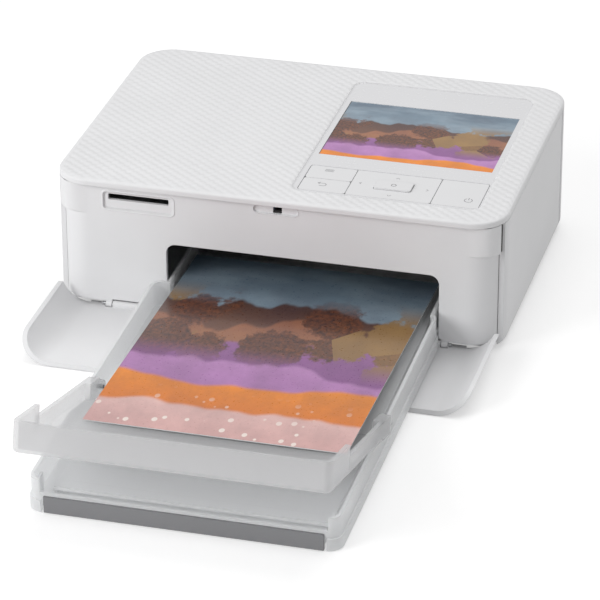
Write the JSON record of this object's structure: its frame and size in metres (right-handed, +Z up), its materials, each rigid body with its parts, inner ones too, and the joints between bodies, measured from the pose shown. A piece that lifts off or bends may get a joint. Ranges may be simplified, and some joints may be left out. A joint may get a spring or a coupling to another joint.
{
  "type": "compact photo printer",
  "caption": "Compact dye-sublimation photo printer with screen, keys, fold-down front cover, ink door and a translucent paper cassette with a raised print catcher.",
  "frame": {"origin": "on the table, under the middle of the whole printer with its cassette and catcher out, in the plane of its four rubber feet", "axes": "+X to the right seen from the front, +Y to the back, so the cassette comes out toward -Y; +Z up"},
  "size_m": [0.1822, 0.3022, 0.0578],
  "materials": {
    "white_shell": "fine matt, moulded",
    "panel_gloss": "glossy white",
    "screen": "dark glass over a colour display",
    "keys": "satin white",
    "circuit_board": "green circuit board",
    "steel": "plated steel",
    "rubber": "matt rubber",
    "gear_plastic": "natural acetal",
    "brass": "machined",
    "grey_plastic": "fine matt",
    "black_plastic": "fine matt",
    "aluminium": "extruded heat sink",
    "frosted_plastic": "translucent, frosted",
    "grey_trim": "painted grey",
    "card_stock": "coated white",
    "photo_paper": "glossy colour print",
    "ribbon_film": "dye ribbon",
    "ribbon_used": "used dye ribbon",
    "cassette_blue": "pale blue-grey"
  },
  "bodies": {
    "housing": {"top_cover": "white_shell", "control_panel": "panel_gloss", "screen_module": "screen", "key_board": "circuit_board", "front_panel": "white_shell", "card_socket": "steel", "left_cover": "white_shell", "rear_cover": "white_shell", "bottom_plate": "white_shell", "rubber_feet": "rubber", "case_screws": "steel", "door_hinge_pins": "steel", "bay_frame": "grey_plastic", "cover_hinge_pins": "steel", "chassis_left": "steel", "chassis_right": "steel", "chassis_bars": "steel", "main_board": "circuit_board", "dc_inlet": "black_plastic", "usb_port": "steel", "paper_motor": "steel", "head_shaft": "steel", "ribbon_motor": "steel", "ink_cassette": "cassette_blue", "ink_ribbon": "ribbon_film"},
    "menu_key": {"menu_key": "keys"},
    "back_key": {"back_key": "keys"},
    "ok_key": {"ok_key": "keys"},
    "power_key": {"power_key": "keys"},
    "nav_pad": {"nav_pad": "keys"},
    "cover_catch": {"cover_catch": "black_plastic"},
    "ink_door": {"ink_door": "white_shell"},
    "ink_lock": {"ink_lock": "cassette_blue"},
    "front_cover": {"front_cover": "white_shell"},
    "cassette": {"cassette_tray": "frosted_plastic", "cassette_front_plate": "grey_trim", "catcher_hinge_pins": "grey_plastic"},
    "sheets": {"lift_plate": "grey_plastic", "paper_stack": "card_stock"},
    "inner_lid": {"inner_lid": "frosted_plastic"},
    "print_catcher": {"print_catcher": "frosted_plastic"},
    "print": {"photo_print": "photo_paper"},
    "capstan": {"capstan_roller": "steel"},
    "pinch": {"pinch_roller": "rubber"},
    "platen": {"platen_roller": "rubber"},
    "pickup": {"pickup_roller": "rubber"},
    "motor_pinion": {"motor_pinion": "brass"},
    "idler_rear": {"idler_gear_rear": "gear_plastic"},
    "idler_front": {"idler_gear_front": "gear_plastic"},
    "print_head": {"print_head": "aluminium"},
    "takeup": {"takeup_spindle": "gear_plastic", "takeup_spool": "ribbon_used"},
    "supply": {"supply_spindle": "gear_plastic", "supply_spool": "ribbon_film"},
    "ribbon_pinion": {"ribbon_pinion": "brass"}
  },
  "joints": [
    {"name": "menu_press", "type": "slide", "parent": "housing", "child": "menu_key", "axis": [0, 0, -1], "range_m": [0, 0.0004], "stiffness_N_per_m": 150},
    {"name": "back_press", "type": "slide", "parent": "housing", "child": "back_key", "axis": [0, 0, -1], "range_m": [0, 0.0004], "stiffness_N_per_m": 150},
    {"name": "ok_press", "type": "slide", "parent": "housing", "child": "ok_key", "axis": [0, 0, -1], "range_m": [0, 0.0004], "stiffness_N_per_m": 150},
    {"name": "power_press", "type": "slide", "parent": "housing", "child": "power_key", "axis": [0, 0, -1], "range_m": [0, 0.0004], "stiffness_N_per_m": 150},
    {"name": "nav_tilt", "type": "hinge", "parent": "housing", "child": "nav_pad", "pos_m": [0.04215, 0.04339, 0.05585], "axis": [1, 0, 0], "range_deg": [-1, 1], "stiffness_Nm_per_rad": 0.02},
    {"name": "catch_press", "type": "slide", "parent": "housing", "child": "cover_catch", "axis": [0, 1, 0], "range_m": [0, 0.001], "stiffness_N_per_m": 100},
    {"name": "ink_door_swing", "type": "hinge", "parent": "housing", "child": "ink_door", "pos_m": [0.0901, 0.13409, 0.028], "axis": [0, 0, 1], "range_deg": [0, 90]},
    {"name": "ink_lock_tip", "type": "hinge", "parent": "housing", "child": "ink_lock", "pos_m": [0.0877, 0.09359, 0.05], "axis": [0, -1, 0], "range_deg": [0, 5], "stiffness_Nm_per_rad": 0.01},
    {"name": "front_cover_fold", "type": "hinge", "parent": "housing", "child": "front_cover", "pos_m": [0, 0.02059, 0.0027], "axis": [-1, 0, 0], "range_deg": [0, 0.6]},
    {"name": "cassette_slide", "type": "slide", "parent": "housing", "child": "cassette", "axis": [0, -1, 0], "range_m": [0, 0.16]},
    {"name": "sheets_lift", "type": "slide", "parent": "cassette", "child": "sheets", "axis": [0, -0.0253, 0.9997], "range_m": [0, 0.0009]},
    {"name": "inner_lid_lift", "type": "hinge", "parent": "cassette", "child": "inner_lid", "pos_m": [0.0109, -0.1324, 0.00798], "axis": [1, 0, 0], "range_deg": [0, 0.6]},
    {"name": "catcher_tilt", "type": "hinge", "parent": "cassette", "child": "print_catcher", "pos_m": [0.00875, -0.05863, 0.01], "axis": [-1, 0, 0], "range_deg": [0, 0.3]},
    {"name": "print_feed", "type": "slide", "parent": "housing", "child": "print", "axis": [0, -0.9995, 0.0304], "range_m": [-0.14, 0]},
    {"name": "capstan_turn", "type": "hinge", "parent": "housing", "child": "capstan", "pos_m": [0, 0.07059, 0.01134], "axis": [1, 0, 0], "range_deg": [-2007, 1]},
    {"name": "pinch_turn", "type": "hinge", "parent": "housing", "child": "pinch", "pos_m": [0, 0.07059, 0.01908], "axis": [1, 0, 0], "range_deg": [-1, 2508]},
    {"name": "platen_turn", "type": "hinge", "parent": "housing", "child": "platen", "pos_m": [0, 0.09259, 0.00967], "axis": [1, 0, 0], "range_deg": [-1606, 1]},
    {"name": "pickup_turn", "type": "hinge", "parent": "housing", "child": "pickup", "pos_m": [0, 0.05159, 0.02146], "axis": [1, 0, 0], "range_deg": [-1, 1606]},
    {"name": "idler_front_turn", "type": "hinge", "parent": "housing", "child": "idler_front", "pos_m": [-0.0705, 0.0885, 0.01906], "axis": [1, 0, 0], "range_deg": [-1, 893]},
    {"name": "idler_rear_turn", "type": "hinge", "parent": "housing", "child": "idler_rear", "pos_m": [-0.0705, 0.11392, 0.01705], "axis": [1, 0, 0], "range_deg": [-1004, 1]},
    {"name": "motor_turn", "type": "hinge", "parent": "housing", "child": "motor_pinion", "pos_m": [-0.0705, 0.13059, 0.015], "axis": [1, 0, 0], "range_deg": [-1, 2508]},
    {"name": "head_tilt", "type": "hinge", "parent": "housing", "child": "print_head", "pos_m": [0, 0.13859, 0.046], "axis": [1, 0, 0], "range_deg": [0, 1.9], "stiffness_Nm_per_rad": 0.5, "springref_deg": -5.73},
    {"name": "takeup_turn", "type": "hinge", "parent": "housing", "child": "takeup", "pos_m": [0, 0.11859, 0.032], "axis": [1, 0, 0], "range_deg": [0, 1340]},
    {"name": "supply_turn", "type": "hinge", "parent": "housing", "child": "supply", "pos_m": [0, 0.06859, 0.036], "axis": [1, 0, 0], "range_deg": [-1, 1000]},
    {"name": "ribbon_motor_turn", "type": "hinge", "parent": "housing", "child": "ribbon_pinion", "pos_m": [-0.0747, 0.12962, 0.04126], "axis": [1, 0, 0], "range_deg": [-2682, 1]}
  ],
  "couplings": [
    {"joint": "capstan_turn", "follows": "print_feed", "rad_per_m": 250},
    {"joint": "pinch_turn", "follows": "print_feed", "rad_per_m": -312.5},
    {"joint": "platen_turn", "follows": "print_feed", "rad_per_m": 200},
    {"joint": "pickup_turn", "follows": "print_feed", "rad_per_m": -200},
    {"joint": "idler_front_turn", "follows": "print_feed", "rad_per_m": -111.11},
    {"joint": "idler_rear_turn", "follows": "print_feed", "rad_per_m": 125},
    {"joint": "motor_turn", "follows": "print_feed", "rad_per_m": -312.5},
    {"joint": "supply_turn", "follows": "takeup_turn", "ratio": 0.74419},
    {"joint": "ribbon_motor_turn", "follows": "takeup_turn", "ratio": -2}
  ]
}
